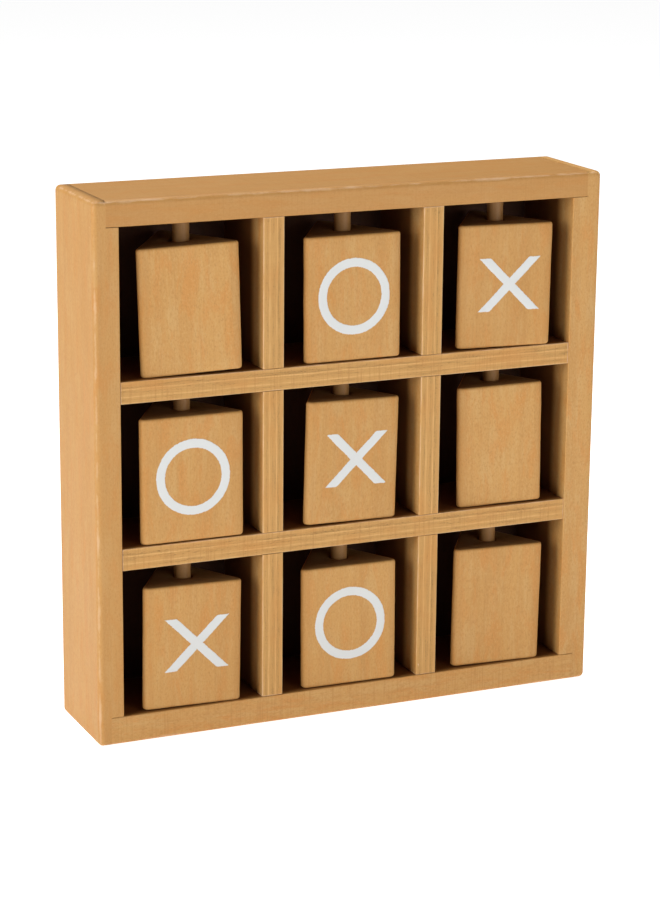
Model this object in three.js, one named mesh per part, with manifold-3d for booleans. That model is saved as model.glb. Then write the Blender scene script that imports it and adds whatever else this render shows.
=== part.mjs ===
// Tabletop noughts-and-crosses game: a shallow wooden frame divided into nine
// cells by cross-lapped plywood, with three long dowels and nine three-sided
// blocks that turn freely on them.
//
// Millimetres, +Z up. The origin is the centre of the frame's underside, the
// open front of the cells faces -Y, and +X is to the right seen from there.
import * as THREE from 'three';
import { mergeVertices } from 'three/addons/utils/BufferGeometryUtils.js';
import { RoundedBoxGeometry } from 'three/addons/geometries/RoundedBoxGeometry.js';
import Module from 'manifold-3d';

const wasm = await Module();
wasm.setup();

// --- Driving dimensions ------------------------------------------------------

const WIDTH = 190;
const HEIGHT = 189.3;
const DEPTH = 40;
const EDGE_RADIUS = 1.9; // sanded outer edges of the frame

// Board thicknesses. The boards are hand-finished and not quite alike.
const LEFT_BOARD = 9.1;
const RIGHT_BOARD = 11.2;
const TOP_BOARD = 8.9;
const BOTTOM_BOARD = 10.1;

const PLYWOOD = 7.7; // thickness of the shelves and uprights
const LEFT_UPRIGHT_X = -30.6; // centre planes of the uprights
const RIGHT_UPRIGHT_X = 29.3;
const UPPER_SHELF_Z = 124.2; // centre planes of the shelves
const LOWER_SHELF_Z = 66.1;
const DIVIDER_SETBACK = 0.3; // front edges behind the frame's front

const PANEL = 3; // thickness of the back panel
const PANEL_INSET = 0.8; // panel's back face inside the frame's back

const GLUE_GAP = 0.1; // between pieces that are glued together

const DOWEL_RADIUS = 2.95;
const DOWEL_HOLE_RADIUS = 3.1;
const DOWEL_BEHIND_FRONT = 12; // axis behind the frame's front face
const DOWEL_ASIDE = 0.4; // axis to the right of its cell's middle
const DOWEL_SOCKET = 5; // blind hole in the top board
const DOWEL_END_GAP = 0.3;
const DOWEL_SIDES = 24;

const BLOCK_HEIGHT = 44;
const BLOCK_INRADIUS = 11.2; // axis to each flat face
const BLOCK_CORNER = 2; // radius of the upright corners
const BLOCK_EASE = 0.7; // eased top and bottom edges
const BLOCK_BORE_RADIUS = 3.4; // loose on its dowel
const BLOCK_LIFT = 0.3; // clearance over the shelf below

// How far each block is turned from square, in degrees, rows from the top.
const BLOCK_TURN = [
  [-3, -1, -3],
  [-1, 1, -3],
  [-1, -2, -2],
];

// --- Derived places ----------------------------------------------------------

const FRONT = -DEPTH / 2;
const BACK = DEPTH / 2;
const INNER_LEFT = -WIDTH / 2 + LEFT_BOARD;
const INNER_RIGHT = WIDTH / 2 - RIGHT_BOARD;
const INNER_BOTTOM = BOTTOM_BOARD;
const INNER_TOP = HEIGHT - TOP_BOARD;
const DIVIDER_FRONT = FRONT + DIVIDER_SETBACK;
const PANEL_BACK = BACK - PANEL_INSET;
const PANEL_FRONT = PANEL_BACK - PANEL;
const DIVIDER_BACK = PANEL_FRONT - GLUE_GAP;
const LAP_Y = (DIVIDER_FRONT + DIVIDER_BACK) / 2;
const DOWEL_Y = FRONT + DOWEL_BEHIND_FRONT;
const HALF_PLY = PLYWOOD / 2;

const UPRIGHTS = { left_upright: LEFT_UPRIGHT_X, right_upright: RIGHT_UPRIGHT_X };
const SHELVES = { upper_shelf: UPPER_SHELF_Z, lower_shelf: LOWER_SHELF_Z };

const COLUMNS = [
  { name: 'left', x: (INNER_LEFT + LEFT_UPRIGHT_X - HALF_PLY) / 2 + DOWEL_ASIDE },
  { name: 'middle', x: (LEFT_UPRIGHT_X + RIGHT_UPRIGHT_X) / 2 + DOWEL_ASIDE },
  { name: 'right', x: (RIGHT_UPRIGHT_X + HALF_PLY + INNER_RIGHT) / 2 + DOWEL_ASIDE },
];
const ROWS = [
  { name: 'top', floor: UPPER_SHELF_Z + HALF_PLY },
  { name: 'centre', floor: LOWER_SHELF_Z + HALF_PLY },
  { name: 'bottom', floor: INNER_BOTTOM },
];

// --- Materials ---------------------------------------------------------------

const wood = (name, color, roughness) =>
  new THREE.MeshStandardMaterial({ name, color, roughness, metalness: 0 });
const BOARD_WOOD = wood('board_wood', 0xc98a48, 0.55);
const PLY_WOOD = wood('ply_wood', 0xb98a4a, 0.62);
const PANEL_WOOD = wood('panel_wood', 0x4a3018, 0.8);
const DOWEL_WOOD = wood('dowel_wood', 0xa0703f, 0.6);
const BLOCK_WOOD = wood('block_wood', 0xc9924f, 0.6);

// --- Solids ------------------------------------------------------------------

function solid(geometry) {
  const bare = geometry.clone();
  bare.deleteAttribute('normal');
  bare.deleteAttribute('uv');
  const merged = mergeVertices(bare);
  const vertProperties = new Float32Array(merged.attributes.position.array);
  const triVerts = new Uint32Array(merged.index.array);
  return new wasm.Manifold(new wasm.Mesh({ numProp: 3, vertProperties, triVerts }));
}

function toGeometry(manifold) {
  const mesh = manifold.getMesh();
  const geometry = new THREE.BufferGeometry();
  geometry.setAttribute('position', new THREE.BufferAttribute(mesh.vertProperties, 3));
  geometry.setIndex(new THREE.BufferAttribute(mesh.triVerts, 1));
  geometry.computeVertexNormals();
  return geometry;
}

// A box from its lowest to its highest corner.
function block(low, high) {
  const size = high.map((value, axis) => value - low[axis]);
  const centre = high.map((value, axis) => (value + low[axis]) / 2);
  return solid(new THREE.BoxGeometry(...size).translate(...centre));
}

// An upright cylinder at a dowel's place, from z = low to z = high.
function dowelShape(radius, x, low, high) {
  const geometry = new THREE.CylinderGeometry(radius, radius, high - low, DOWEL_SIDES);
  return geometry.rotateX(Math.PI / 2).translate(x, DOWEL_Y, (low + high) / 2);
}

function drillForDowels(piece, low, high) {
  const drill = (rest, column) =>
    rest.subtract(solid(dowelShape(DOWEL_HOLE_RADIUS, column.x, low, high)));
  return COLUMNS.reduce(drill, piece);
}

const PAST = 1; // how far a cutting tool runs past the face it cuts

// The whole frame's outline with its sanded edges. Every board is cut to it.
const ENVELOPE = solid(
  new RoundedBoxGeometry(WIDTH, DEPTH, HEIGHT, 4, EDGE_RADIUS).translate(0, 0, HEIGHT / 2),
);

// --- Frame boards ------------------------------------------------------------

// A full-height board. The top and bottom boards are let into half its thickness.
function sideBoard(outer, inner) {
  const [low, high] = outer < inner ? [outer, inner] : [inner, outer];
  const shoulder = (outer + inner) / 2;
  const past = inner + Math.sign(inner - outer) * PAST;
  const [cutLow, cutHigh] = shoulder < past ? [shoulder, past] : [past, shoulder];
  const lowerRebate = block(
    [cutLow, FRONT - PAST, -PAST],
    [cutHigh, BACK + PAST, INNER_BOTTOM + GLUE_GAP],
  );
  const upperRebate = block(
    [cutLow, FRONT - PAST, INNER_TOP - GLUE_GAP],
    [cutHigh, BACK + PAST, HEIGHT + PAST],
  );
  return block([low, FRONT, 0], [high, BACK, HEIGHT])
    .subtract(lowerRebate)
    .subtract(upperRebate)
    .intersect(ENVELOPE);
}

function crossBoard(low, high) {
  const left = -WIDTH / 2 + LEFT_BOARD / 2 + GLUE_GAP;
  const right = WIDTH / 2 - RIGHT_BOARD / 2 - GLUE_GAP;
  return block([left, FRONT, low], [right, BACK, high]).intersect(ENVELOPE);
}

const topBoard = () =>
  drillForDowels(crossBoard(INNER_TOP, HEIGHT), INNER_TOP - PAST, INNER_TOP + DOWEL_SOCKET);

// The dowels go in from below, so the bottom board is drilled right through.
const bottomBoard = () =>
  drillForDowels(crossBoard(0, INNER_BOTTOM), -PAST, INNER_BOTTOM + PAST);

const backPanel = () =>
  block(
    [INNER_LEFT + GLUE_GAP, PANEL_FRONT, INNER_BOTTOM + GLUE_GAP],
    [INNER_RIGHT - GLUE_GAP, PANEL_BACK, INNER_TOP - GLUE_GAP],
  );

// --- Cross-lapped dividers ---------------------------------------------------

// Shelves are slotted from behind, so they run unbroken across the front.
function shelf(z) {
  const plate = block(
    [INNER_LEFT + GLUE_GAP, DIVIDER_FRONT, z - HALF_PLY],
    [INNER_RIGHT - GLUE_GAP, DIVIDER_BACK, z + HALF_PLY],
  );
  const slot = (rest, x) =>
    rest.subtract(
      block(
        [x - HALF_PLY - GLUE_GAP, LAP_Y, z - HALF_PLY - PAST],
        [x + HALF_PLY + GLUE_GAP, DIVIDER_BACK + PAST, z + HALF_PLY + PAST],
      ),
    );
  const slotted = Object.values(UPRIGHTS).reduce(slot, plate);
  return drillForDowels(slotted, z - HALF_PLY - PAST, z + HALF_PLY + PAST);
}

// Uprights are slotted from the front to take the shelves.
function upright(x) {
  const plate = block(
    [x - HALF_PLY, DIVIDER_FRONT, INNER_BOTTOM + GLUE_GAP],
    [x + HALF_PLY, DIVIDER_BACK, INNER_TOP - GLUE_GAP],
  );
  const slot = (rest, z) =>
    rest.subtract(
      block(
        [x - HALF_PLY - PAST, DIVIDER_FRONT - PAST, z - HALF_PLY - GLUE_GAP],
        [x + HALF_PLY + PAST, LAP_Y + GLUE_GAP, z + HALF_PLY + GLUE_GAP],
      ),
    );
  return Object.values(SHELVES).reduce(slot, plate);
}

// --- Dowels and blocks -------------------------------------------------------

const dowelGeometry = (x) =>
  dowelShape(DOWEL_RADIUS, x, DOWEL_END_GAP, INNER_TOP + DOWEL_SOCKET - DOWEL_END_GAP);

// The section: an equilateral triangle with round corners, one face to -Y.
function blockSection() {
  const shape = new THREE.Shape();
  const cornerDistance = 2 * (BLOCK_INRADIUS - BLOCK_CORNER);
  const sixty = Math.PI / 3;
  for (let corner = 0; corner < 3; corner += 1) {
    const angle = Math.PI / 2 + corner * 2 * sixty;
    const x = cornerDistance * Math.cos(angle);
    const y = cornerDistance * Math.sin(angle);
    shape.absarc(x, y, BLOCK_CORNER, angle - sixty, angle + sixty, false);
  }
  shape.closePath();
  const bore = new THREE.Path();
  bore.absarc(0, 0, BLOCK_BORE_RADIUS, 0, 2 * Math.PI, true);
  shape.holes.push(bore);
  return shape;
}

function blockGeometry() {
  const options = {
    depth: BLOCK_HEIGHT - 2 * BLOCK_EASE,
    curveSegments: 5,
    bevelEnabled: true,
    bevelSegments: 1,
    bevelThickness: BLOCK_EASE,
    bevelSize: BLOCK_EASE,
    bevelOffset: -BLOCK_EASE,
  };
  return new THREE.ExtrudeGeometry(blockSection(), options).translate(0, 0, BLOCK_EASE);
}

// --- Assembly ----------------------------------------------------------------

const game = new THREE.Group();

function add(name, geometry, material) {
  const mesh = new THREE.Mesh(geometry, material);
  mesh.name = name;
  game.add(mesh);
  return mesh;
}

add('left_side_board', toGeometry(sideBoard(-WIDTH / 2, INNER_LEFT)), BOARD_WOOD);
add('right_side_board', toGeometry(sideBoard(WIDTH / 2, INNER_RIGHT)), BOARD_WOOD);
add('top_board', toGeometry(topBoard()), BOARD_WOOD);
add('bottom_board', toGeometry(bottomBoard()), BOARD_WOOD);
add('back_panel', toGeometry(backPanel()), PANEL_WOOD);

for (const [name, z] of Object.entries(SHELVES)) {
  add(name, toGeometry(shelf(z)), PLY_WOOD);
}
for (const [name, x] of Object.entries(UPRIGHTS)) {
  add(name, toGeometry(upright(x)), PLY_WOOD);
}
for (const column of COLUMNS) {
  add(`${column.name}_dowel`, dowelGeometry(column.x), DOWEL_WOOD);
}

const sharedBlock = blockGeometry();
ROWS.forEach((row, rowIndex) => {
  COLUMNS.forEach((column, columnIndex) => {
    const piece = add(`block_${row.name}_${column.name}`, sharedBlock, BLOCK_WOOD);
    piece.position.set(column.x, DOWEL_Y, row.floor + BLOCK_LIFT);
    piece.rotation.z = THREE.MathUtils.degToRad(BLOCK_TURN[rowIndex][columnIndex]);
  });
});

export default game;
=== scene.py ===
"""Looks for the tabletop noughts-and-crosses frame.

Sanded, honey-stained boards, plywood dividers whose edges show their plies, loose
three-sided blocks with stencilled marks, and a plain pale studio.
"""

import math

import bmesh
import bpy
from mathutils import Matrix, Vector, noise
from mathutils.bvhtree import BVHTree


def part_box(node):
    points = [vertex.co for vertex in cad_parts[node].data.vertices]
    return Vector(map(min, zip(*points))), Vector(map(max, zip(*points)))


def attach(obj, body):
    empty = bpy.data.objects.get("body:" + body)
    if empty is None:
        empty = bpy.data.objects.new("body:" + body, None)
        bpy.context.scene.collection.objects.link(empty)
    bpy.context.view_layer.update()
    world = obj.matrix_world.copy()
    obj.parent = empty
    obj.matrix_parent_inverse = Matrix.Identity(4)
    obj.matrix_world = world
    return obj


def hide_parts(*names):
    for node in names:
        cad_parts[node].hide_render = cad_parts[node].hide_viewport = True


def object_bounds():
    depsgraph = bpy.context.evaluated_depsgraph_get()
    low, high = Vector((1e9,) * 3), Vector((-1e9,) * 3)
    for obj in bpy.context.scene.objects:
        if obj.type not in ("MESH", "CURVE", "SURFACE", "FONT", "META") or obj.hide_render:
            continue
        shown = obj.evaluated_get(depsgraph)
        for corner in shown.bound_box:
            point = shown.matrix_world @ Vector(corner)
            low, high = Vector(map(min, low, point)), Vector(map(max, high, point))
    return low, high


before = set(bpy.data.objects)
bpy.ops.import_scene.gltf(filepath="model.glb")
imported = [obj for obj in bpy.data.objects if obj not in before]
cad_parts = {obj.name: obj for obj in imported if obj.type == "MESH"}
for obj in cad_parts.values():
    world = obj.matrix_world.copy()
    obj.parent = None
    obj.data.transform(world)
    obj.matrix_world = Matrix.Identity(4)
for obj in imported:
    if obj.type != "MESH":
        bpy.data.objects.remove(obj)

CAD_LOW, CAD_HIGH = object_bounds()
MM = 0.001

# --- Camera ------------------------------------------------------------------

CAMERA_AZIMUTH = -24.03
CAMERA_ELEVATION = 14.67
CAMERA_ROLL = 0.53
CAMERA_DISTANCE = 0.92455
CAMERA_TARGET = Vector((-0.00942, -0.020, 0.09744))
CAMERA_LENS = 106.6
SENSOR = 36.0


def add_camera():
    azimuth = math.radians(CAMERA_AZIMUTH)
    elevation = math.radians(CAMERA_ELEVATION)
    roll = math.radians(CAMERA_ROLL)
    back = Vector((
        math.sin(azimuth) * math.cos(elevation),
        -math.cos(azimuth) * math.cos(elevation),
        math.sin(elevation),
    ))
    level = Vector((0, 0, 1)).cross(back).normalized()
    upright = back.cross(level)
    right = math.cos(roll) * level + math.sin(roll) * upright
    up = math.cos(roll) * upright - math.sin(roll) * level
    data = bpy.data.cameras.new("camera")
    data.lens = CAMERA_LENS
    data.sensor_width = SENSOR
    data.clip_start = 0.01
    data.clip_end = 50
    camera = bpy.data.objects.new("camera", data)
    turn = Matrix((right, up, back)).transposed().to_4x4()
    camera.matrix_world = Matrix.Translation(CAMERA_TARGET + back * CAMERA_DISTANCE) @ turn
    bpy.context.collection.objects.link(camera)
    bpy.context.scene.camera = camera


# --- Studio ------------------------------------------------------------------


LIGHT_DISTANCE = 1.2
# Name, azimuth and elevation in degrees, side in metres, watts.
LIGHTS = [
    ("left_box_low", -75, 10, 0.5, 3.9),
    ("left_box_high", -75, 25, 0.5, 3.4),
    ("left_top_box", -120, 60, 0.6, 2.6),
    ("rear_top_box", 180, 70, 0.6, 8.9),
    ("front_card", 18, 6, 0.6, 4.7),
    ("right_card", 90, 35, 0.6, 2.3),
]

# The surround's strength: what it casts on the object, and what the camera sees.
WORLD_CAST, WORLD_SEEN = 0.04, 1.0
FLOOR_CAST, FLOOR_SEEN = 0.4, 0.92
FLOOR_REACH = 6.0
FLOOR_GAP = 0.1 * MM


def add_light(name, azimuth, elevation, size, watts):
    """A square soft box that looks at the middle of the frame."""
    middle = (CAD_LOW + CAD_HIGH) / 2
    a = math.radians(azimuth)
    e = math.radians(elevation)
    back = Vector((math.sin(a) * math.cos(e), -math.cos(a) * math.cos(e), math.sin(e)))
    data = bpy.data.lights.new(name, "AREA")
    data.size = size
    data.energy = watts
    light = bpy.data.objects.new(name, data)
    turn = back.to_track_quat("Z", "Y").to_matrix().to_4x4()
    light.matrix_world = Matrix.Translation(middle + back * LIGHT_DISTANCE) @ turn
    bpy.context.collection.objects.link(light)


def shown_brighter(tree, socket, strength, shown):
    """A pale surround: seen as bright as a lit sweep, but casting only a little light."""
    path = tree.nodes.new("ShaderNodeLightPath")
    span = tree.nodes.new("ShaderNodeMapRange")
    span.inputs["To Min"].default_value = strength
    span.inputs["To Max"].default_value = shown
    tree.links.new(path.outputs["Is Camera Ray"], span.inputs["Value"])
    tree.links.new(span.outputs["Result"], socket)


def add_studio():
    scene = bpy.context.scene
    scene.view_settings.view_transform = "Standard"
    world = bpy.data.worlds.new("studio")
    world.use_nodes = True
    background = world.node_tree.nodes["Background"]
    background.inputs["Color"].default_value = (1, 1, 1, 1)
    shown_brighter(world.node_tree, background.inputs["Strength"], WORLD_CAST, WORLD_SEEN)
    scene.world = world
    for light in LIGHTS:
        add_light(*light)

    mesh = bpy.data.meshes.new("floor")
    reach = FLOOR_REACH
    corners = [(-reach, -reach, 0), (reach, -reach, 0), (reach, reach, 0), (-reach, reach, 0)]
    mesh.from_pydata(corners, [], [(0, 1, 2, 3)])
    floor = bpy.data.objects.new("floor", mesh)
    floor.location.z = CAD_LOW.z - FLOOR_GAP
    material = bpy.data.materials.new("floor_white")
    material.use_nodes = True
    shader = material.node_tree.nodes["Principled BSDF"]
    shader.inputs["Base Color"].default_value = (0.93, 0.93, 0.93, 1)
    shader.inputs["Roughness"].default_value = 0.9
    shader.inputs["Emission Color"].default_value = (1, 1, 1, 1)
    emission = shader.inputs["Emission Strength"]
    shown_brighter(material.node_tree, emission, FLOOR_CAST, FLOOR_SEEN)
    mesh.materials.append(material)
    bpy.context.collection.objects.link(floor)


# --- Node helpers ------------------------------------------------------------


class Tree:
    """Builds one material's node tree. An input may be a value or another node's output."""

    def __init__(self, name):
        self.material = bpy.data.materials.new(name)
        self.material.use_nodes = True
        self.nodes = self.material.node_tree.nodes
        self.links = self.material.node_tree.links
        self.shader = self.nodes["Principled BSDF"]

    def put(self, socket, value):
        if isinstance(value, bpy.types.NodeSocket):
            self.links.new(value, socket)
        else:
            socket.default_value = value

    def node(self, kind, inputs, **settings):
        made = self.nodes.new(kind)
        for key, value in settings.items():
            setattr(made, key, value)
        for key, value in inputs.items():
            self.put(made.inputs[key], value)
        return made

    def math(self, operation, a, b=0.0, c=0.0, clamp=False):
        inputs = {0: a, 1: b, 2: c}
        made = self.node("ShaderNodeMath", inputs, operation=operation, use_clamp=clamp)
        return made.outputs[0]

    def ramp(self, value, low, high):
        """0 at low, 1 at high, smooth between. low may be above high."""
        inputs = {"Value": value, "From Min": low, "From Max": high}
        made = self.node("ShaderNodeMapRange", inputs, interpolation_type="SMOOTHSTEP")
        return made.outputs[0]

    def share(self, value, low, high, most):
        return self.math("MULTIPLY", self.ramp(value, low, high), most)

    def mix(self, factor, a, b):
        made = self.node("ShaderNodeMix", {0: factor, 6: a, 7: b}, data_type="RGBA")
        return made.outputs[2]

    def vector(self, name):
        made = self.node("ShaderNodeAttribute", {}, attribute_name=name)
        return made.outputs["Vector"]

    def value(self, name):
        made = self.node("ShaderNodeAttribute", {}, attribute_name=name)
        return made.outputs["Fac"]

    def scaled(self, vector, scales):
        made = self.node("ShaderNodeVectorMath", {0: vector, 1: scales}, operation="MULTIPLY")
        return made.outputs[0]

    def split(self, vector):
        return self.node("ShaderNodeSeparateXYZ", {0: vector}).outputs

    def noise(self, vector, scales, detail=3.0, roughness=0.5, distortion=0.0):
        """Noise from 0 to 1. scales are features per millimetre along, across and through."""
        inputs = {
            "Vector": self.scaled(vector, scales),
            "Scale": 1.0,
            "Detail": detail,
            "Roughness": roughness,
            "Distortion": distortion,
        }
        return self.node("ShaderNodeTexNoise", inputs).outputs[0]

    def bump(self, height, millimetres):
        inputs = {"Height": height, "Strength": 1.0, "Distance": millimetres * MM}
        return self.node("ShaderNodeBump", inputs).outputs[0]


def rgb(red, green, blue):
    return (red, green, blue, 1.0)


# --- Wood --------------------------------------------------------------------

HONEY = rgb(0.65, 0.352, 0.110)
HONEY_PALE = rgb(0.67, 0.405, 0.155)
HONEY_DEEP = rgb(0.52, 0.245, 0.065)
HONEY_ROSY = rgb(0.66, 0.292, 0.070)
WORN = rgb(0.82, 0.57, 0.36)
FLECK = rgb(0.30, 0.14, 0.045)
# Painted shade deep inside the cells.
INSIDE_SHADE = rgb(0.16, 0.050, 0.008)
# Painted shade on the blocks' tops, bottoms and bore.
END_SHADE = rgb(0.17, 0.085, 0.026)
PLY_DARK = rgb(0.37, 0.195, 0.056)
PLY_LIGHT = rgb(0.80, 0.49, 0.180)
DOWEL_BROWN = rgb(0.36, 0.185, 0.060)
# Painted shade: the back panel near-black, as the shade behind the cells.
PANEL_SHADE = rgb(0.06, 0.019, 0.005)
PANEL_SHADE_DEEP = rgb(0.035, 0.012, 0.004)
PAINT = rgb(0.78, 0.79, 0.78)
PAINT_THIN = rgb(0.70, 0.72, 0.70)


def wood_colour(tree, light, pale, deep, rosy, fleck_share):
    """Streaks, patches of thick and thin stain, and pores, along the piece's own grain."""
    grain = tree.vector("grain_mm")
    fibres = tree.noise(grain, (0.035, 1.5, 1.5), detail=4, roughness=0.6, distortion=0.3)
    bands = tree.noise(grain, (0.006, 0.16, 0.16), detail=3, distortion=0.6)
    thin = tree.noise(grain, (0.05, 0.24, 0.24), detail=4, roughness=0.65)
    thick = tree.noise(grain, (0.06, 0.20, 0.34), detail=4, roughness=0.65, distortion=0.5)
    speckle = tree.noise(grain, (1.0, 1.7, 1.7), detail=3, roughness=0.65)
    pores = tree.noise(grain, (0.7, 3.2, 3.2), detail=2, roughness=0.7)
    colour = tree.mix(tree.share(bands, 0.40, 0.70, 0.35), light, deep)
    colour = tree.mix(tree.share(thin, 0.46, 0.66, 0.60), colour, pale)
    colour = tree.mix(tree.share(thick, 0.46, 0.68, 0.70), colour, rosy)
    colour = tree.mix(tree.share(fibres, 0.46, 0.80, 0.35), colour, deep)
    colour = tree.mix(tree.share(speckle, 0.50, 0.72, 0.62), colour, deep)
    colour = tree.mix(tree.share(speckle, 0.48, 0.28, 0.60), colour, pale)
    colour = tree.mix(tree.share(pores, 0.58, 0.78, fleck_share), colour, FLECK)
    height = tree.math("ADD", tree.math("MULTIPLY", fibres, 0.6), tree.math("MULTIPLY", pores, 0.4))
    return colour, height


def paint_inside_shade(tree, colour):
    """Painted shade: darkens the faces that look into a cell, past a band at the front that stays
    unshaded.
    """
    local = tree.split(tree.vector("local_mm"))
    half = tree.split(tree.vector("half_mm"))
    depth = tree.math("ADD", local[1], half[1])
    past = tree.math("SUBTRACT", depth, tree.value("unshaded_mm"))
    return tree.mix(tree.share(past, 0.0, 5.0, 0.93), colour, INSIDE_SHADE)


def edge_distance(tree):
    """Millimetres from a point on a board to the nearest edge of the board's box."""
    local = tree.split(tree.vector("local_mm"))
    half = tree.split(tree.vector("half_mm"))
    x, y, z = [
        tree.math("SUBTRACT", half[i], tree.math("ABSOLUTE", local[i])) for i in range(3)
    ]
    xy = tree.math("MAXIMUM", x, y)
    xz = tree.math("MAXIMUM", x, z)
    yz = tree.math("MAXIMUM", y, z)
    return tree.math("MINIMUM", xy, tree.math("MINIMUM", xz, yz))


def edge_wear(tree, reach):
    """0 to 1: how far the stain is rubbed off, in broken patches along the edges."""
    grain = tree.vector("grain_mm")
    patches = tree.noise(grain, (0.09, 0.3, 0.3), detail=4, roughness=0.65)
    ragged = tree.math("MULTIPLY_ADD", patches, reach * 1.8, -reach * 0.45)
    return tree.ramp(edge_distance(tree), ragged, 0.0)


def finish_wood(tree, colour, height, roughness, relief):
    grain = tree.vector("grain_mm")
    smudge = tree.noise(grain, (0.05, 0.2, 0.2), detail=3)
    shine = tree.math("MULTIPLY_ADD", smudge, 0.18, roughness - 0.09)
    tree.put(tree.shader.inputs["Base Color"], colour)
    tree.put(tree.shader.inputs["Roughness"], shine)
    tree.put(tree.shader.inputs["Normal"], tree.bump(height, relief))
    tree.shader.inputs["Specular IOR Level"].default_value = 0.32
    return tree.material


def board_wood():
    tree = Tree("board_wood")
    colour, height = wood_colour(tree, HONEY, HONEY_PALE, HONEY_DEEP, HONEY_ROSY, 0.25)
    # Fine marks left by the saw across the front edges of the level boards.
    grain = tree.vector("grain_mm")
    saw = tree.noise(grain, (1.9, 0.06, 0.06), detail=2)
    marks = tree.math("MULTIPLY", tree.ramp(saw, 0.45, 0.75), tree.value("sawn"))
    colour = tree.mix(tree.math("MULTIPLY", marks, 0.45), colour, HONEY_DEEP)
    colour = tree.mix(tree.value("tone"), colour, HONEY_DEEP)
    colour = tree.mix(tree.math("MULTIPLY", edge_wear(tree, 2.2), 0.8), colour, WORN)
    # Painted shade on the faces deep inside the cells.
    colour = paint_inside_shade(tree, colour)
    return finish_wood(tree, colour, height, 0.55, 0.06)


def ply_face_wood():
    tree = Tree("ply_face_wood")
    colour, height = wood_colour(tree, HONEY, HONEY_PALE, HONEY_DEEP, HONEY_ROSY, 0.3)
    colour = tree.mix(tree.math("MULTIPLY", edge_wear(tree, 0.9), 0.6), colour, WORN)
    # Painted shade on the faces deep inside the cells.
    colour = paint_inside_shade(tree, colour)
    return finish_wood(tree, colour, height, 0.6, 0.06)


# Shade across the plywood's thickness, 0 dark to 1 light: glue lines and long-grain
# plies are pale, end-grain plies are dark.
PLY_LAYERS = [
    (0.00, 0.85), (0.06, 0.62), (0.17, 0.42), (0.25, 0.46), (0.31, 0.80), (0.36, 0.58),
    (0.50, 0.44), (0.60, 0.48), (0.66, 0.84), (0.71, 0.34), (0.79, 0.40), (0.92, 0.60),
    (1.00, 0.85),
]


def ply_edge_wood():
    tree = Tree("ply_edge_wood")
    grain = tree.vector("grain_mm")
    wander = tree.noise(grain, (0.05, 0.2, 0.2), detail=3)
    layer = tree.math("ADD", tree.value("layer"), tree.math("MULTIPLY_ADD", wander, 0.06, -0.03))
    layers = tree.node("ShaderNodeValToRGB", {"Fac": layer})
    stops = layers.color_ramp.elements
    while len(stops) < len(PLY_LAYERS):
        stops.new(0.5)
    for stop, (place, shade) in zip(stops, PLY_LAYERS):
        stop.position = place
        stop.color = rgb(shade, shade, shade)
    shade = layers.outputs["Color"]
    fibres = tree.noise(grain, (0.12, 2.2, 2.2), detail=4, roughness=0.65)
    shade = tree.math("ADD", shade, tree.math("MULTIPLY_ADD", fibres, 0.9, -0.45), clamp=True)
    colour = tree.mix(tree.ramp(shade, 0.0, 0.55), PLY_DARK, HONEY)
    colour = tree.mix(tree.ramp(shade, 0.55, 1.0), colour, PLY_LIGHT)
    pores = tree.noise(grain, (1.6, 3.5, 3.5), detail=2, roughness=0.7)
    open_ply = tree.ramp(shade, 0.62, 0.30)
    fleck = tree.math("MULTIPLY", tree.ramp(pores, 0.54, 0.70), open_ply)
    colour = tree.mix(tree.math("MULTIPLY", fleck, 0.65), colour, FLECK)
    saw = tree.noise(grain, (1.7, 0.08, 0.08), detail=2)
    marks = tree.math("MULTIPLY", tree.ramp(saw, 0.45, 0.75), tree.value("sawn"))
    colour = tree.mix(tree.math("MULTIPLY", marks, 0.5), colour, HONEY_DEEP)
    patches = tree.noise(grain, (0.05, 0.15, 0.15), detail=3)
    colour = tree.mix(tree.share(patches, 0.45, 0.75, 0.5), colour, HONEY_ROSY)
    colour = tree.mix(tree.math("MULTIPLY", edge_wear(tree, 0.7), 0.8), colour, WORN)
    height = tree.math("SUBTRACT", fibres, fleck)
    return finish_wood(tree, colour, height, 0.58, 0.10)


def dowel_wood():
    tree = Tree("dowel_wood")
    colour, height = wood_colour(tree, DOWEL_BROWN, DOWEL_BROWN, FLECK, DOWEL_BROWN, 0.4)
    return finish_wood(tree, colour, height, 0.5, 0.05)


# Painted shade: the back panel is coloured near-black to stand for the shade deep in the cells.
def panel_wood():
    tree = Tree("panel_wood")
    colour, height = wood_colour(tree, PANEL_SHADE, PANEL_SHADE, PANEL_SHADE_DEEP, PANEL_SHADE, 0.0)
    return finish_wood(tree, colour, height, 0.75, 0.05)


# --- Painted marks -----------------------------------------------------------

STROKE = 3.1
RING_RADIUS = 11.8
CROSS_HALF_HEIGHT = 9.5
CROSS_HALF_WIDTH = 9.6
CROSS_SHIFT = 1.2
MARK_RAISE = 0.6


def ring_distance(tree, x, z):
    """How far outside the O's stroke a point lies, in mm; negative inside."""
    radius = tree.math("SQRT", tree.math("ADD", tree.math("POWER", x, 2.0), tree.math("POWER", z, 2.0)))
    off = tree.math("ABSOLUTE", tree.math("SUBTRACT", radius, RING_RADIUS))
    return tree.math("SUBTRACT", off, STROKE / 2)


def cross_distance(tree, x, z):
    """The same for the X: two slanted bars with level ends."""
    x = tree.math("SUBTRACT", x, CROSS_SHIFT)
    slant = math.atan2(CROSS_HALF_HEIGHT, CROSS_HALF_WIDTH)
    along_x = tree.math("MULTIPLY", x, math.sin(slant))
    along_z = tree.math("MULTIPLY", z, math.cos(slant))
    rising = tree.math("ABSOLUTE", tree.math("SUBTRACT", along_x, along_z))
    falling = tree.math("ABSOLUTE", tree.math("ADD", along_x, along_z))
    bars = tree.math("SUBTRACT", tree.math("MINIMUM", rising, falling), STROKE / 2)
    ends = tree.math("SUBTRACT", tree.math("ABSOLUTE", z), CROSS_HALF_HEIGHT)
    return tree.math("SMOOTH_MAX", bars, ends, 0.5)


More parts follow.
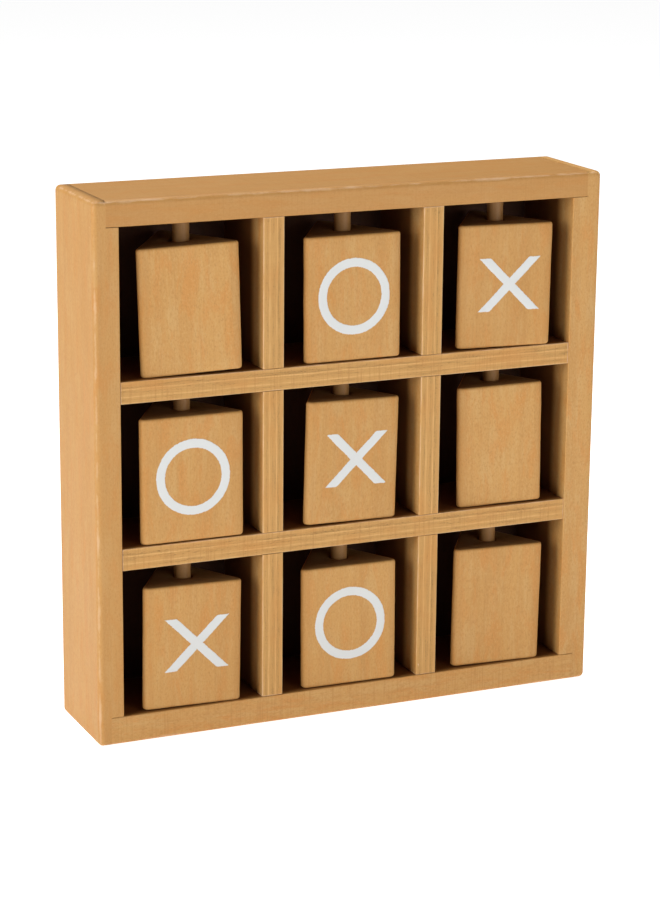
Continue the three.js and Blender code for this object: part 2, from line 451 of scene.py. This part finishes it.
def block_wood(name, distance=None):
    tree = Tree(name)
    colour, height = wood_colour(tree, HONEY, HONEY_PALE, HONEY_DEEP, HONEY_ROSY, 0.35)
    # Painted shade on the blocks' rounded corners.
    colour = tree.mix(tree.share(tree.value("edge"), 0.35, 1.0, 0.25), colour, HONEY_DEEP)
    colour = tree.mix(tree.value("tone"), colour, HONEY_DEEP)
    # Painted shade over the tops, bottoms and bore, fading down the rounded edges.
    colour = tree.mix(tree.share(tree.value("end"), 0.15, 1.0, 0.85), colour, END_SHADE)
    material = finish_wood(tree, colour, height, 0.6, 0.05)
    if distance is None:
        return material
    face = tree.vector("face_mm")
    x, z, _ = tree.split(face)
    z = tree.math("SUBTRACT", z, MARK_RAISE)
    wander = tree.noise(tree.vector("grain_mm"), (0.22, 0.22, 0.22), detail=2)
    ragged = tree.noise(tree.vector("grain_mm"), (1.5, 1.5, 1.5), detail=4, roughness=0.7)
    gap = tree.math("ADD", distance(tree, x, z), tree.math("MULTIPLY_ADD", ragged, 0.6, -0.3))
    gap = tree.math("ADD", gap, tree.math("MULTIPLY_ADD", wander, 0.3, -0.15))
    painted = tree.ramp(gap, 0.10, -0.10)
    worn = tree.noise(face, (2.6, 2.6, 2.6), detail=5, roughness=0.75)
    cover = tree.math("MULTIPLY", painted, tree.ramp(worn, 0.80, 0.68))
    film = tree.noise(face, (0.5, 0.5, 0.5), detail=3)
    paint = tree.mix(tree.math("MULTIPLY", film, 0.25), PAINT, PAINT_THIN)
    tree.put(tree.shader.inputs["Base Color"], tree.mix(cover, colour, paint))
    relief = tree.math("ADD", tree.math("MULTIPLY", height, 0.4), tree.math("MULTIPLY", cover, 1.0))
    tree.put(tree.shader.inputs["Normal"], tree.bump(relief, 0.08))
    return material


# --- Attributes that the materials read --------------------------------------

GRAIN_ORDER = {"X": (0, 1, 2), "Y": (1, 0, 2), "Z": (2, 0, 1)}
SHIFT_STEP = Vector((61.0, 23.0, 37.0))


def store(mesh, name, kind, domain, values):
    attribute = mesh.attributes.new(name, kind, domain)
    key = "vector" if kind == "FLOAT_VECTOR" else "value"
    attribute.data.foreach_set(key, values)


def tag_wood(mesh, grain_axis, index, centre, half):
    """Gives each vertex its place along the grain and in the piece's box, in mm."""
    order = GRAIN_ORDER[grain_axis]
    shift = SHIFT_STEP * (index + 1)
    grain = []
    local = []
    for vertex in mesh.vertices:
        place = (vertex.co - centre) / MM
        grain += [place[order[i]] + shift[i] for i in range(3)]
        local += place[:]
    store(mesh, "grain_mm", "FLOAT_VECTOR", "POINT", grain)
    store(mesh, "local_mm", "FLOAT_VECTOR", "POINT", local)
    store(mesh, "half_mm", "FLOAT_VECTOR", "POINT", list(half / MM) * len(mesh.vertices))


# How many millimetres behind the front a face stays free of the painted shade, by kind of face.
UNSHADED_OUTSIDE = 1000.0
UNSHADED_WALL = 7.5
UNSHADED_SHELF = -1.5
BOARD_DEPTH = 5 * MM  # a face further in than this from the frame's box looks into a cell


def tag_inside_shade(mesh, low, high):
    """Marks the faces that look into a cell, which get the painted shade."""
    unshaded_band = []
    for face in mesh.polygons:
        middle = face.center
        inside = (
            abs(face.normal.y) < 0.5
            and low.x + BOARD_DEPTH < middle.x < high.x - BOARD_DEPTH
            and low.z + BOARD_DEPTH < middle.z < high.z - BOARD_DEPTH
        )
        band = UNSHADED_SHELF if abs(face.normal.z) > 0.7 else UNSHADED_WALL
        unshaded_band += [band if inside else UNSHADED_OUTSIDE] * len(face.vertices)
    store(mesh, "unshaded_mm", "FLOAT", "CORNER", unshaded_band)


def tag_value(mesh, name, value):
    store(mesh, name, "FLOAT", "POINT", [value] * len(mesh.vertices))


def finish_piece(name, mesh, body, node, place=None):
    """Makes the object that stands in for a CAD node, at a matrix if one is given."""
    piece = bpy.data.objects.new(name, mesh)
    bpy.context.collection.objects.link(piece)
    if place is not None:
        piece.matrix_world = place
    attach(piece, body)
    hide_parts(node)
    return piece


# --- Boards and dividers -----------------------------------------------------


FLAT_ANGLE = math.radians(1)
SHARP_ANGLE = math.radians(50)
GLUE_REACH = 0.2 * MM
BOARD_ARRIS = 0.35 * MM
DIVIDER_ARRIS = 0.3 * MM
PANEL_ARRIS = 0.3 * MM


def surfaces_of_others(node):
    """Search trees of the frame's other CAD solids."""
    trees = []
    for name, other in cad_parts.items():
        if name == node or name.startswith("block_"):
            continue
        shape = bmesh.new()
        shape.from_mesh(other.data)
        trees.append(BVHTree.FromBMesh(shape))
        shape.free()
    return trees


def is_glued(edge, others):
    """Whether an edge runs along another piece, so that it can't have been sanded."""
    start, end = (vertex.co for vertex in edge.verts)
    for share in (0.1, 0.5, 0.9):
        point = start.lerp(end, share)
        if not any(tree.find_nearest(point, GLUE_REACH)[0] for tree in others):
            return False
    return True


def eased_copy(node, arris):
    """A copy of a CAD solid with its flat faces whole again and its free edges eased."""
    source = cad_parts[node]
    others = surfaces_of_others(node)
    shape = bmesh.new()
    shape.from_mesh(source.data)
    bmesh.ops.remove_doubles(shape, verts=shape.verts, dist=0.001 * MM)
    bmesh.ops.dissolve_limit(
        shape, angle_limit=FLAT_ANGLE, verts=shape.verts, edges=shape.edges
    )
    sharp = [
        edge for edge in shape.edges
        if edge.is_manifold
        and edge.calc_face_angle() > SHARP_ANGLE
        and not is_glued(edge, others)
    ]
    bmesh.ops.bevel(
        shape, geom=sharp, offset=arris, segments=2, profile=0.5,
        affect="EDGES", clamp_overlap=True,
    )
    mesh = bpy.data.meshes.new(node)
    shape.to_mesh(mesh)
    shape.free()
    for face in mesh.polygons:
        face.use_smooth = True
    mesh.set_sharp_from_angle(angle=SHARP_ANGLE)
    return mesh


def weight_normals(piece):
    modifier = piece.modifiers.new("even_flats", "WEIGHTED_NORMAL")
    modifier.keep_sharp = True


GLUE_LINE = 0.09 * MM  # how much of the gap at a level board's end is closed
SAME_PLACE = 0.01 * MM
BOARD_TONES = {
    "left_side_board": 0.32,
    "right_side_board": 0.0,
    "top_board": 0.55,
    "bottom_board": 0.0,
}


def close_glue_line(mesh, low, high):
    """Brings a level board's ends almost up to the side boards."""
    for vertex in mesh.vertices:
        if vertex.co.x - low.x < SAME_PLACE:
            vertex.co.x -= GLUE_LINE
        elif high.x - vertex.co.x < SAME_PLACE:
            vertex.co.x += GLUE_LINE


def add_boards():
    wood = board_wood()
    grains = {
        "left_side_board": "Z",
        "right_side_board": "Z",
        "top_board": "X",
        "bottom_board": "X",
    }
    # Only the arrises of the finished frame are rubbed, so its box is used for them all.
    side_low, side_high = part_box("left_side_board")
    centre = (CAD_LOW + CAD_HIGH) / 2
    centre.y = (side_low.y + side_high.y) / 2
    half = (CAD_HIGH - CAD_LOW) / 2
    half.y = side_high.y - centre.y
    for index, (node, grain) in enumerate(grains.items()):
        mesh = eased_copy(node, BOARD_ARRIS)
        if grain == "X":
            close_glue_line(mesh, *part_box(node))
        mesh.materials.append(wood)
        tag_wood(mesh, grain, index, centre, half)
        # Where the painted shade inside the cells starts.
        tag_inside_shade(mesh, CAD_LOW, CAD_HIGH)
        tag_value(mesh, "sawn", 1.0 if grain == "X" else 0.15)
        tag_value(mesh, "tone", BOARD_TONES[node])
        piece = finish_piece(node + "_sanded", mesh, "frame", node)
        weight_normals(piece)


def add_dividers():
    face_wood = ply_face_wood()
    edge_wood = ply_edge_wood()
    layouts = {
        "upper_shelf": ("X", 2),
        "lower_shelf": ("X", 2),
        "left_upright": ("Z", 0),
        "right_upright": ("Z", 0),
    }
    for index, (node, (grain, through)) in enumerate(layouts.items()):
        low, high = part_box(node)
        mesh = eased_copy(node, DIVIDER_ARRIS)
        mesh.materials.append(face_wood)
        mesh.materials.append(edge_wood)
        for face in mesh.polygons:
            face.material_index = 0 if abs(face.normal[through]) > 0.7 else 1
        tag_wood(mesh, grain, index + 4, (low + high) / 2, (high - low) / 2)
        span = high[through] - low[through]
        layer = [(vertex.co[through] - low[through]) / span for vertex in mesh.vertices]
        store(mesh, "layer", "FLOAT", "POINT", layer)
        # Where the painted shade inside the cells starts.
        tag_inside_shade(mesh, CAD_LOW, CAD_HIGH)
        tag_value(mesh, "sawn", 1.0 if grain == "X" else 0.2)
        piece = finish_piece(node + "_plywood", mesh, "frame", node)
        weight_normals(piece)


def add_back_panel():
    low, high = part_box("back_panel")
    mesh = eased_copy("back_panel", PANEL_ARRIS)
    # The panel's near-black colour is painted shade.
    mesh.materials.append(panel_wood())
    tag_wood(mesh, "Z", 8, (low + high) / 2, (high - low) / 2)
    piece = finish_piece("back_panel_painted_shade", mesh, "frame", "back_panel")
    weight_normals(piece)


# --- Dowels ------------------------------------------------------------------

DOWEL_SIDES = 40
DOWEL_STEP = 3 * MM
DOWEL_EASE = 0.4 * MM
DOWEL_UNEVEN = 0.04 * MM


def dowel_mesh(name, low, high):
    """A round stick with slightly uneven sides and eased ends."""
    centre = (low + high) / 2
    radius = (high.x - low.x) / 2
    ease = DOWEL_EASE
    heights = [low.z, low.z + ease]
    steps = round((high.z - low.z - 2 * ease) / DOWEL_STEP)
    for step in range(1, steps):
        heights.append(low.z + ease + (high.z - low.z - 2 * ease) * step / steps)
    heights += [high.z - ease, high.z]
    shape = bmesh.new()
    rings = []
    for level, z in enumerate(heights):
        at_end = level in (0, len(heights) - 1)
        ring = []
        for side in range(DOWEL_SIDES):
            angle = 2 * math.pi * side / DOWEL_SIDES
            out = Vector((math.cos(angle), math.sin(angle), 0))
            uneven = noise.noise(Vector((centre.x * 900, z * 90, 0)) + out * 0.8)
            reach = radius - (ease if at_end else 0) - DOWEL_UNEVEN * (1 + uneven)
            ring.append(shape.verts.new(Vector((centre.x, centre.y, z)) + out * reach))
        rings.append(ring)
    for lower, upper in zip(rings, rings[1:]):
        for side in range(DOWEL_SIDES):
            after = (side + 1) % DOWEL_SIDES
            shape.faces.new((lower[side], lower[after], upper[after], upper[side]))
    shape.faces.new(list(reversed(rings[0])))
    shape.faces.new(rings[-1])
    mesh = bpy.data.meshes.new(name)
    shape.to_mesh(mesh)
    shape.free()
    for face in mesh.polygons:
        face.use_smooth = len(face.vertices) == 4
    return mesh


def add_dowels():
    wood = dowel_wood()
    for index, column in enumerate(("left", "middle", "right")):
        node = column + "_dowel"
        low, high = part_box(node)
        mesh = dowel_mesh(node, low, high)
        mesh.materials.append(wood)
        tag_wood(mesh, "Z", index + 9, (low + high) / 2, (high - low) / 2)
        finish_piece(node + "_round", mesh, "frame", node)


# --- Blocks ------------------------------------------------------------------

INRADIUS = 11.2 * MM
CORNER = 2.0 * MM
BORE = 3.2 * MM
ROUND = 1.0 * MM
BORE_CHAMFER = 0.4 * MM
SWELL = 0.10 * MM  # how far the faces are from flat
SWELL_SIZE = 9 * MM
FOOT_REACH = 17.5 * MM  # from the axis to the end of a face, on the foot
FOOT_CLEARANCE = 0.25 * MM  # how far a leaning foot may come down
ARC_STEPS = 8
FLAT_STEPS = 12
ROUND_STEPS = 4
HEIGHT_STEPS = 12

# The mark that faces out of each cell, rows from the top. Every block carries an X, an O
# and a plain face in that order round its dowel.
FACING = {
    "top": ("plain", "o", "x"),
    "centre": ("o", "x", "plain"),
    "bottom": ("x", "o", "plain"),
}
MARK_ORDER = ("x", "o", "plain")
COLUMNS = ("left", "middle", "right")

# Each block's width against the usual, how many degrees its top leans to the left on the
# loose dowel, and how dark its stain is.
CUTS = {
    "top": ((1.0, 1.8, 0.0), (1.0, 0.4, 0.1), (1.0, -0.5, 0.2)),
    "centre": ((1.035, 0.3, 0.1), (0.985, -1.2, 0.1), (0.92, 0.9, 0.0)),
    "bottom": ((1.0, -0.7, 0.1), (1.0, 0.4, 0.05), (0.97, -0.7, 0.05)),
}
THIRD = 2 * math.pi / 3


def direction(angle):
    return Vector((math.cos(angle), math.sin(angle)))


def section(inradius, inset):
    """Points round the block's section, anticlockwise, with how near a rounded corner each is; the
    blocks' material paints shade there by it.
    """
    points = []
    for corner in range(3):
        middle = math.pi / 2 + corner * THIRD
        distance = 2 * (inradius - CORNER)
        centre = direction(middle) * distance
        radius = CORNER - inset
        arc = []
        for step in range(ARC_STEPS + 1):
            angle = middle - math.pi / 3 + THIRD * step / ARC_STEPS
            arc.append(centre + direction(angle) * radius)
        points += [(point, 1.0) for point in arc]
        turned = direction(middle + THIRD) * distance
        start = arc[-1]
        end = turned + direction(middle + math.pi / 3) * radius
        for step in range(1, FLAT_STEPS):
            share = step / FLAT_STEPS
            near = 0.0 if 1 < step < FLAT_STEPS - 1 else 0.15
            points.append((start.lerp(end, share), near))
    return points


def block_profile(height):
    """Height above the block's foot and inset of each ring, bottom to top."""
    rounded = [
        (ROUND * (1 - math.cos(math.pi / 2 * step / ROUND_STEPS)),
         ROUND * (1 - math.sin(math.pi / 2 * step / ROUND_STEPS)))
        for step in range(ROUND_STEPS + 1)
    ]
    straight = [
        (ROUND + (height - 2 * ROUND) * step / HEIGHT_STEPS, 0.0)
        for step in range(1, HEIGHT_STEPS)
    ]
    upper = [(height - z, inset) for z, inset in reversed(rounded)]
    return rounded + straight + upper


def face_number(angle):
    """Which of the three faces a direction from the axis belongs to: 0 looks along -Y."""
    return round((angle + math.pi / 2) / THIRD) % 3


def block_mesh(name, height, index, cut, front_mark, materials):
    """A three-sided block with its axis at the origin and its foot at z = 0."""
    width, lean, tone = cut
    shape = bmesh.new()
    # Weight for the painted shade on the rounded corners.
    edge = shape.verts.layers.float.new("edge")
    # Weight for the painted shade over the tops, bottoms and bore.
    end = shape.verts.layers.float.new("end")
    bore_radius = BORE + math.sin(math.radians(abs(lean))) * height / 2
    rings = []
    for z, inset in block_profile(height):
        ring = []
        for point, near in section(INRADIUS * width, inset):
            seed = Vector((point.x, point.y, z)) / SWELL_SIZE + Vector((index * 7.3, 0, 0))
            swell = noise.noise(seed) * SWELL - SWELL / 2
            out = Vector((point.x, point.y, 0)).normalized()
            vertex = shape.verts.new(Vector((point.x, point.y, z)) + out * swell)
            vertex[edge] = near
            vertex[end] = inset / ROUND
            ring.append(vertex)
        rings.append(ring)
    count = len(rings[0])
    for lower, upper in zip(rings, rings[1:]):
        for side in range(count):
            after = (side + 1) % count
            shape.faces.new((lower[side], lower[after], upper[after], upper[side]))

    def bore_ring(z, radius):
        ring = []
        for vertex in rings[0]:
            angle = math.atan2(vertex.co.y, vertex.co.x)
            place = Vector((radius * math.cos(angle), radius * math.sin(angle), z))
            ring.append(shape.verts.new(place))
            ring[-1][end] = 1.0
        return ring

    chamfer = BORE_CHAMFER
    bore = [
        bore_ring(0, bore_radius + chamfer), bore_ring(chamfer, bore_radius),
        bore_ring(height - chamfer, bore_radius), bore_ring(height, bore_radius + chamfer),
    ]
    loops = [rings[-1], *reversed(bore), rings[0]]
    for first, second in zip(loops, loops[1:]):
        for side in range(count):
            after = (side + 1) % count
            shape.faces.new((first[side], first[after], second[after], second[side]))
    bmesh.ops.recalc_face_normals(shape, faces=shape.faces)
    mesh = bpy.data.meshes.new(name)
    shape.to_mesh(mesh)
    shape.free()

    for material in materials.values():
        mesh.materials.append(material)
    slots = list(materials)
    first_mark = MARK_ORDER.index(front_mark)
    face_mm = []
    for face in mesh.polygons:
        face.use_smooth = True
        middle = face.center
        number = face_number(math.atan2(middle.y, middle.x))
        on_side = abs(face.normal.z) < 0.7
        mark = MARK_ORDER[(first_mark + number) % 3] if on_side else "plain"
        face.material_index = slots.index(mark)
        unturn = Matrix.Rotation(-number * THIRD, 3, "Z")
        for corner in face.vertices:
            place = unturn @ mesh.vertices[corner].co
            face_mm += [place.x / MM, (place.z - height / 2) / MM, 0.0]
    store(mesh, "face_mm", "FLOAT_VECTOR", "CORNER", face_mm)
    tag_value(mesh, "tone", tone)
    mesh.set_sharp_from_angle(angle=SHARP_ANGLE)
    return mesh


TIP_DEPTH = 0.02 * MM


def resting_turns():
    """How far each CAD block is turned about its dowel, read from its back corner."""
    turns = {}
    for row in FACING:
        for column in COLUMNS:
            node = f"block_{row}_{column}"
            low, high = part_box(column + "_dowel")
            axis = (low + high) / 2
            behind = [
                vertex.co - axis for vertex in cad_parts[node].data.vertices
            ]
            depth = max(place.y for place in behind)
            back = [place for place in behind if place.y > depth - CORNER]
            far = max(Vector((place.x, place.y)).length for place in back)
            tip = [
                place for place in back
                if Vector((place.x, place.y)).length > far - TIP_DEPTH
            ]
            x = sum(place.x for place in tip) / len(tip)
            y = sum(place.y for place in tip) / len(tip)
            turns[node] = math.atan2(-x, y)
    return turns


def add_blocks():
    materials = {
        "x": block_wood("block_wood_x", cross_distance),
        "o": block_wood("block_wood_o", ring_distance),
        "plain": block_wood("block_wood_plain"),
    }
    turns = resting_turns()
    index = 0
    for row, marks in FACING.items():
        for column, mark, cut in zip(COLUMNS, marks, CUTS[row]):
            node = f"block_{row}_{column}"
            low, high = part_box(node)
            axis_low, axis_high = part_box(column + "_dowel")
            axis = (axis_low + axis_high) / 2
            height = high.z - low.z
            mesh = block_mesh(node, height, index, cut, mark, materials)
            half = Vector((INRADIUS, INRADIUS, height / 2))
            tag_wood(mesh, "Z", index + 12, Vector((0, 0, height / 2)), half)
            lean = math.radians(-cut[1])
            raised = max(0, math.sin(abs(lean)) * FOOT_REACH - FOOT_CLEARANCE)
            place = (
                Matrix.Translation((axis.x, axis.y, low.z + height / 2 + raised))
                @ Matrix.Rotation(lean, 4, "Y")
                @ Matrix.Rotation(turns[node], 4, "Z")
                @ Matrix.Translation((0, 0, -height / 2))
            )
            finish_piece(node + "_turned", mesh, node, node, place)
            index += 1


# --- Assembly ----------------------------------------------------------------

add_camera()
add_studio()
add_boards()
add_dividers()
add_back_panel()
add_dowels()
add_blocks()
